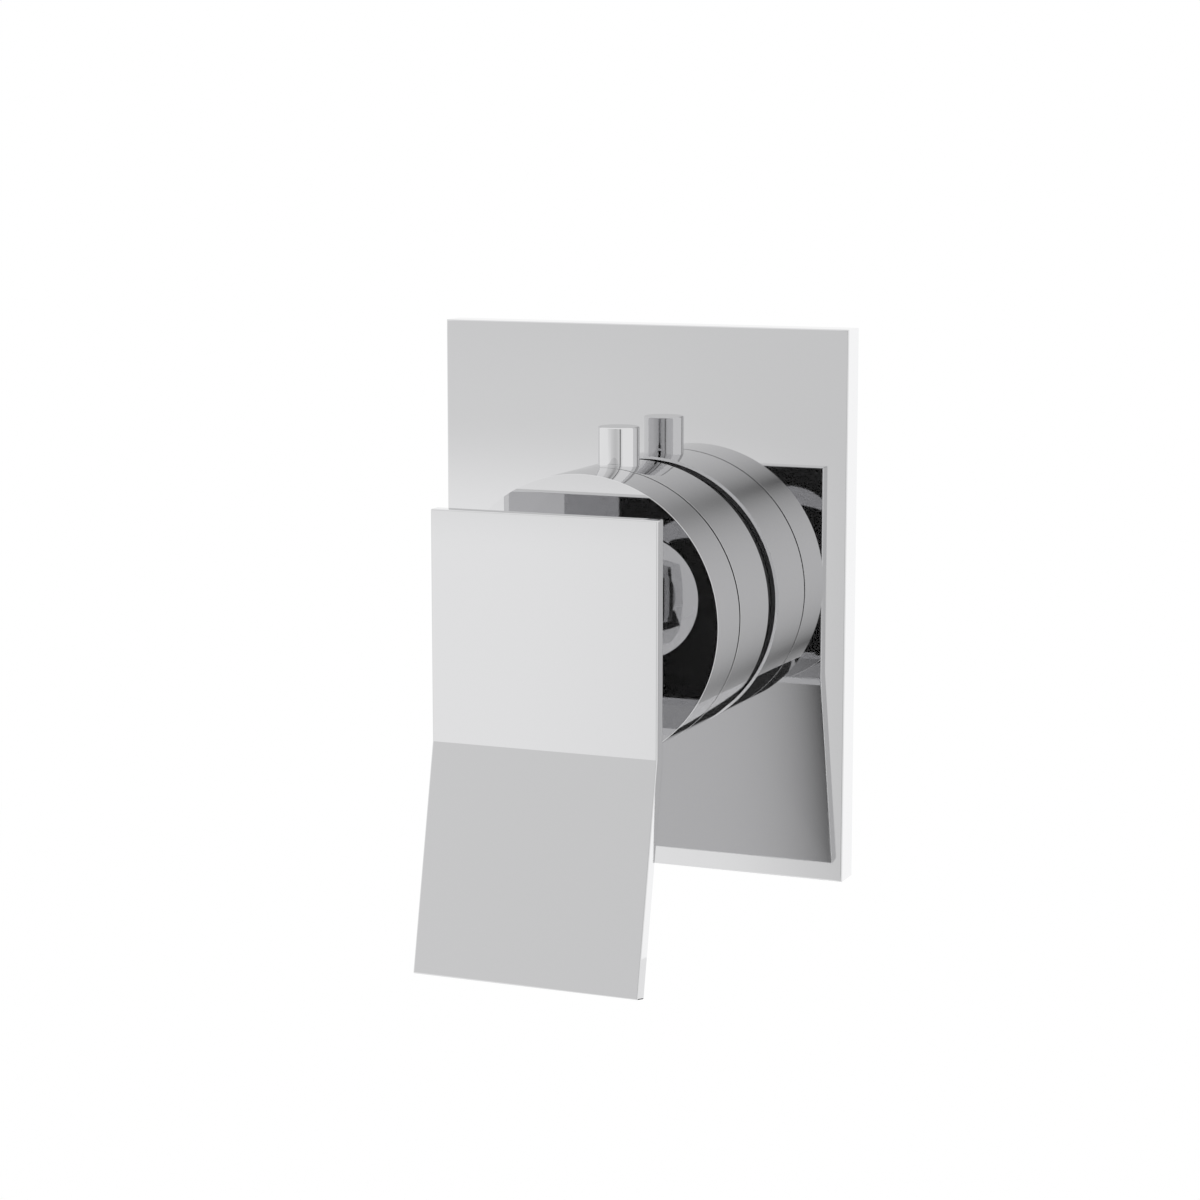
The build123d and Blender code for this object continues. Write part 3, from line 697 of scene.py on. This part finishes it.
class SHOWER_OT_inner_finishes(bpy.types.Operator):
    """Finishes of the valve body and of the pieces inside it"""

    bl_idname = "shower.inner_finishes"
    bl_label = "Inner finishes"

    def execute(self, context):
        f = finish()
        finishes = {
            # Sand-cast brass: a dull gold with the coarse skin of the mould
            "cast_brass": grained("cast_brass", f.brass, 1.0, (0.3, 0.5), 1.1 * MM, 0.05 * MM),
            "steel": turned_steel(),
            # Black ABS: a matt spark-eroded texture that spreads the light softly
            "black_abs": grained("moulded_black_abs", f.black, 0.0, (0.45, 0.6), 0.35 * MM, 0.01 * MM),
            # Grey acetal: waxy and almost smooth, with a broad sheen
            "grey_acetal": grained("moulded_grey_acetal", f.grey, 0.0, (0.34, 0.42), 2.5 * MM, 0.003 * MM),
            # Nitrile rubber: near black and dry, with a trace of bloom
            "nitrile_rubber": grained("nitrile_rubber", f.rubber, 0.0, (0.55, 0.75), 0.5 * MM, 0.006 * MM),
            "pe_foam": closed_foam(),
            # Lapped alumina: warm white and very flat, with a faint cloudiness in its gloss
            "alumina": grained("lapped_alumina", f.ceramic, 0.0, (0.12, 0.2), 4.0 * MM, 0.0005 * MM),
        }
        for part in frame["record"]["subparts"]:
            node = frame["nodes"][part["node"]]
            if part["material_slot"] in finishes:
                node.data.materials.clear()
                node.data.materials.append(finishes[part["material_slot"]])
        return {"FINISHED"}


class SHOWER_OT_studio(bpy.types.Operator):
    """Pale floor, soft light and the camera"""

    bl_idname = "shower.studio"
    bl_label = "Studio"

    def execute(self, context):
        self.make_world(context.scene)
        self.make_floor()
        self.make_front_card()
        self.make_side_card()
        self.make_low_card()
        self.make_camera(context.scene)
        context.scene.view_settings.view_transform = "Standard"
        return {"FINISHED"}

    def make_world(self, scene):
        """An even white room."""
        world = bpy.data.worlds.new("White studio")
        world.use_nodes = True
        tree = world.node_tree
        tree.nodes.clear()
        light = add_node(tree, "ShaderNodeBackground", Color=(1.0, 1.0, 1.0, 1.0), Strength=1.0)
        add_node(tree, "ShaderNodeOutputWorld", Surface=light)
        scene.world = world

    def make_floor(self):
        """A wide pale floor under the object."""
        s = stage()
        place = Matrix.Translation((0, 0, -s.floor_drop))
        bm = bmesh.new()
        bmesh.ops.create_circle(bm, cap_ends=True, segments=96, radius=s.floor_radius, matrix=place)
        floor = piece_from(bm, "studio_floor")
        material, tree = new_material("matt_white_floor")
        paint = add_node(tree, "ShaderNodeBsdfDiffuse", Color=finish().floor)
        add_node(tree, "ShaderNodeOutputMaterial", Surface=paint)
        floor.data.materials.append(material)

    def make_front_card(self):
        """A lit card in front of the object that chrome mirrors as soft greys.

        It has a soft dark patch above and one below, a thin dark line, and is brightest low on the left.
        At its rim it fades to the white of the room."""
        s = stage()
        far = s.card_distance
        material, tree = new_material("front_card_light")
        place = add_node(tree, "ShaderNodeTexCoord").outputs["Object"]
        split = add_node(tree, "ShaderNodeSeparateXYZ", Vector=place)
        across, up = split.outputs["X"], split.outputs["Z"]
        level = s.card_level
        for height in (s.patch_height, -s.patch_height):
            middle = (s.patch_across * far, -far, height * far)
            distance = add_node(tree, "ShaderNodeVectorMath", {"operation": "DISTANCE"}, place, middle)
            gap = distance.outputs["Value"]
            fading = add_node(tree, MATH, {"operation": "DIVIDE"}, gap, -s.patch_spread * far)
            patch = add_node(tree, MATH, {"operation": "EXPONENT"}, fading)
            level = add_node(tree, MATH, {"operation": "MULTIPLY_ADD"}, patch, -s.patch_depth, level)
        for top, bottom, right, left, strength in (
            (s.low_light_top, s.low_light_bottom, s.low_light_right, s.low_light_left, s.low_light),
            (s.left_light_top, s.left_light_bottom, s.left_light_right, s.left_light_left, s.left_light),
        ):
            below = add_node(tree, MAP_RANGE, SMOOTH, up, top * far, bottom * far, 0.0, 1.0)
            beside = add_node(tree, MAP_RANGE, SMOOTH, across, right * far, left * far, 0.0, strength)
            level = add_node(tree, MATH, {"operation": "MULTIPLY_ADD"}, below, beside, level)
        offset = add_node(tree, MATH, {"operation": "SUBTRACT"}, across, s.line_across * far)
        gap = add_node(tree, MATH, {"operation": "ABSOLUTE"}, offset)
        line = add_node(tree, MAP_RANGE, SMOOTH, gap, s.line_core * far, s.line_rim * far, s.line_depth, 0.0)
        level = add_node(tree, MATH, {"operation": "SUBTRACT"}, level, line)
        level = add_node(tree, MATH, {"operation": "MAXIMUM"}, level, s.card_least)
        sideways = add_node(tree, MATH, {"operation": "ABSOLUTE"}, across)
        upwards = add_node(tree, MATH, {"operation": "ABSOLUTE"}, up)
        rim = add_node(tree, MATH, {"operation": "MAXIMUM"}, sideways, upwards)
        kept = add_node(tree, MAP_RANGE, SMOOTH, rim, s.fade_start * far, s.fade_end * far, 1.0, 0.0)
        below_white = add_node(tree, MATH, {"operation": "SUBTRACT"}, level, 1.0)
        level = add_node(tree, MATH, {"operation": "MULTIPLY_ADD"}, below_white, kept, 1.0)
        self.card("front_card", material, tree, level, (s.card_reach, s.card_reach), (0.0, 0.0))

    def make_side_card(self):
        """A bright card beyond the object's right side, which its side faces mirror."""
        s = stage()
        material, tree = new_material("side_card_light")
        reaches = (s.side_reach, s.side_reach)
        self.card("side_card", material, tree, s.side_level, reaches, (s.side_across, s.side_height))

    def make_low_card(self):
        """A wide dark card low behind the object, pale at its left end."""
        s = stage()
        far = s.card_distance
        middle = far * sin(s.low_card_height)
        material, tree = new_material("low_card_light")
        place = add_node(tree, "ShaderNodeTexCoord").outputs["Object"]
        split = add_node(tree, "ShaderNodeSeparateXYZ", Vector=place)
        rise = add_node(tree, MATH, {"operation": "SUBTRACT"}, split.outputs["Z"], middle)
        edge = add_node(tree, MATH, {"operation": "MULTIPLY_ADD"}, rise, -s.shade_lean, s.shade_edge * far)
        past = add_node(tree, MATH, {"operation": "SUBTRACT"}, edge, split.outputs["X"])
        gap = add_node(tree, MATH, {"operation": "MAXIMUM"}, past, 0.0)
        fading = add_node(tree, MATH, {"operation": "DIVIDE"}, gap, -s.shade_spread * far)
        dark = add_node(tree, MATH, {"operation": "EXPONENT"}, fading)
        drop = s.shade_level - s.low_card_level
        level = add_node(tree, MATH, {"operation": "MULTIPLY_ADD"}, dark, drop, s.low_card_level)
        reaches = (s.low_card_wide, s.low_card_high)
        self.card("low_card", material, tree, level, reaches, (pi, s.low_card_height))

    def card(self, name, material, tree, level, reaches, direction):
        """A lit board that the camera doesn't see, with its strength given by a number or a node.

        The direction is an angle, 0 towards the user and 90 degrees to the right, and a height."""
        around, rise = direction
        towards = Vector((sin(around) * cos(rise), -cos(around) * cos(rise), sin(rise)))
        light = add_node(tree, "ShaderNodeEmission", Strength=level)
        add_node(tree, "ShaderNodeOutputMaterial", Surface=light)
        far = stage().card_distance
        turn = (-towards).to_track_quat("Z", "Y").to_matrix().to_4x4()
        spread = Matrix.Diagonal((*(tan(reach) * far for reach in reaches), 1.0, 1.0))
        bm = bmesh.new()
        place = Matrix.Translation(towards * far) @ turn @ spread
        bmesh.ops.create_grid(bm, x_segments=1, y_segments=1, size=1.0, matrix=place)
        board = piece_from(bm, name)
        board.data.materials.append(material)
        board.visible_camera = False
        board.visible_diffuse = False
        board.visible_shadow = False

    def make_camera(self, scene):
        """The camera, a little above the object and to its right."""
        data = bpy.data.cameras.new("Camera")
        data.lens = CAMERA_LENS
        data.sensor_width = CAMERA_SENSOR
        data.clip_start = 10 * MM
        camera = bpy.data.objects.new("Camera", data)
        scene.collection.objects.link(camera)
        camera.location = CAMERA_PLACE
        level = cos(CAMERA_PITCH)
        aim = Vector((-sin(CAMERA_YAW) * level, cos(CAMERA_YAW) * level, sin(CAMERA_PITCH)))
        camera.rotation_euler = aim.to_track_quat("-Z", "Y").to_euler()
        scene.camera = camera


class VIEW3D_PT_shower_trim(bpy.types.Panel):
    """Lists the steps, the sizes, the finishes and the stage"""

    bl_label = "Shower control"
    bl_space_type = "VIEW_3D"
    bl_region_type = "UI"
    bl_category = "Shower"

    def draw(self, context):
        for operator in OPERATORS:
            self.layout.operator(operator.bl_idname)
        for group in (sizes(), finish(), stage()):
            for name in group.__annotations__:
                self.layout.prop(group, name)


OPERATORS = (
    SHOWER_OT_wall_plate,
    SHOWER_OT_diverter_ring,
    SHOWER_OT_diverter_pin,
    SHOWER_OT_front_cover,
    SHOWER_OT_lever,
    SHOWER_OT_inner_finishes,
    SHOWER_OT_studio,
)
CLASSES = (ShowerTrimSizes, ShowerTrimFinish, ShowerStage, *OPERATORS, VIEW3D_PT_shower_trim)


def register():
    for item in CLASSES:
        bpy.utils.register_class(item)
    bpy.types.Scene.shower_trim_sizes = PointerProperty(type=ShowerTrimSizes)
    bpy.types.Scene.shower_trim_finish = PointerProperty(type=ShowerTrimFinish)
    bpy.types.Scene.shower_stage = PointerProperty(type=ShowerStage)


def unregister():
    del bpy.types.Scene.shower_stage
    del bpy.types.Scene.shower_trim_finish
    del bpy.types.Scene.shower_trim_sizes
    for item in reversed(CLASSES):
        bpy.utils.unregister_class(item)


def main():
    register()
    for operator in OPERATORS:
        group, name = operator.bl_idname.split(".")
        getattr(getattr(bpy.ops, group), name)()


if __name__ == "__main__":
    main()
